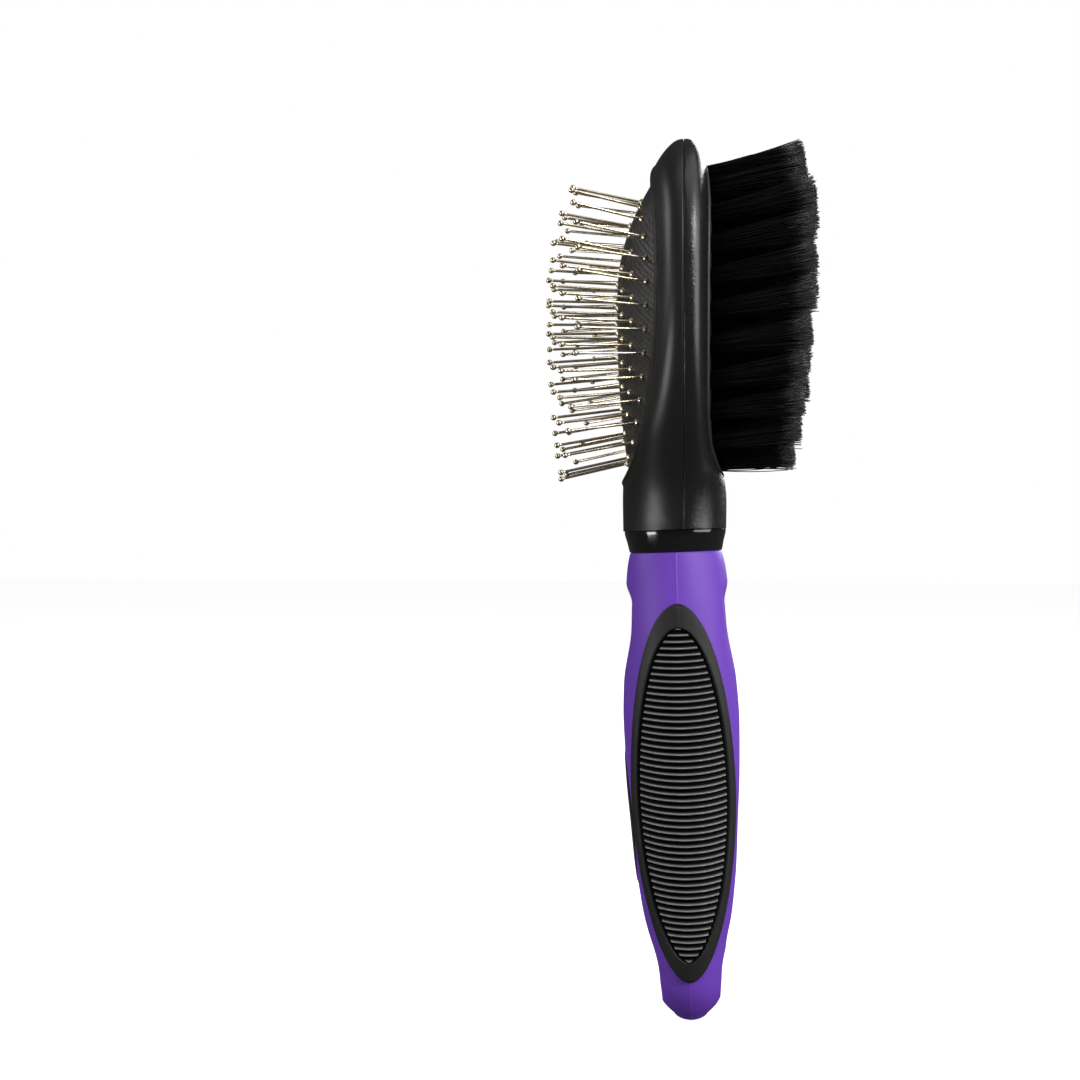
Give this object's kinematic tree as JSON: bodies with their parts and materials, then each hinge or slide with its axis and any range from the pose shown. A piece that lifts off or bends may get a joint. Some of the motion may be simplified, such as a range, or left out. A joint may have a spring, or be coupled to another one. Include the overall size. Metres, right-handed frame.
{
  "type": "bristle brush",
  "caption": "Double-sided grooming brush: ball-tipped steel pins on an air cushion, bristle tufts behind, and a two-material handle with a hang hole.",
  "frame": {"origin": "centre of the grip on the handle's own axis, 60 mm above the handle end, where a hand holds the brush", "axes": "+Z from the handle end towards the head, -Y the way the pins face, +Y the way the bristles face, X across the width"},
  "size_m": [0.065, 0.0698, 0.227],
  "materials": {
    "head_black": "satin moulded ABS",
    "collar_black": "gloss moulded ABS",
    "pad_rubber": "soft matte rubber with a fine woven grain",
    "pin_steel": "polished steel wire",
    "bristle_nylon": "fine nylon filament",
    "block_black": "satin moulded",
    "staple_wire": "flat wire",
    "handle_purple": "fine spark-eroded grain",
    "grip_rubber": "ribbed soft rubber, slightly glossy",
    "badge_black": "smooth domed",
    "inner_plastic": "plain moulded"
  },
  "bodies": {
    "brush": {"head_front_shell": "head_black", "head_back_shell": "head_black", "cushion_base": "inner_plastic", "pin_pad": "pad_rubber", "bristle_block": "block_black", "tuft_ring_outer": "bristle_nylon", "tuft_ring_middle": "bristle_nylon", "tuft_ring_inner": "bristle_nylon", "tuft_row_centre": "bristle_nylon", "tuft_staples": "staple_wire", "collar": "collar_black", "handle_core": "inner_plastic", "handle_body": "handle_purple", "grip_left": "grip_rubber", "grip_right": "grip_rubber", "badge": "badge_black"},
    "pin_group_1": {"pins_level_1": "pin_steel"},
    "pin_group_2": {"pins_level_2": "pin_steel"},
    "pin_group_3": {"pins_level_3": "pin_steel"},
    "pin_group_4": {"pins_level_4": "pin_steel"},
    "pin_group_5": {"pins_level_5": "pin_steel"}
  },
  "joints": [
    {"name": "cushion_press", "type": "slide", "parent": "brush", "child": "pin_group_1", "axis": [0, 1, 0], "range_m": [0, 0.0029], "stiffness_N_per_m": 900, "deforming": ["pin_pad"]},
    {"name": "cushion_press_2", "type": "slide", "parent": "brush", "child": "pin_group_2", "axis": [0, 1, 0], "range_m": [0, 0.0024], "stiffness_N_per_m": 500},
    {"name": "cushion_press_3", "type": "slide", "parent": "brush", "child": "pin_group_3", "axis": [0, 1, 0], "range_m": [0, 0.00189], "stiffness_N_per_m": 500},
    {"name": "cushion_press_4", "type": "slide", "parent": "brush", "child": "pin_group_4", "axis": [0, 1, 0], "range_m": [0, 0.00138], "stiffness_N_per_m": 500},
    {"name": "cushion_press_5", "type": "slide", "parent": "brush", "child": "pin_group_5", "axis": [0, 1, 0], "range_m": [0, 0.000866], "stiffness_N_per_m": 500}
  ],
  "couplings": [
    {"joint": "cushion_press_2", "follows": "cushion_press", "ratio": 0.8238},
    {"joint": "cushion_press_3", "follows": "cushion_press", "ratio": 0.6477},
    {"joint": "cushion_press_4", "follows": "cushion_press", "ratio": 0.4715},
    {"joint": "cushion_press_5", "follows": "cushion_press", "ratio": 0.2953}
  ]
}
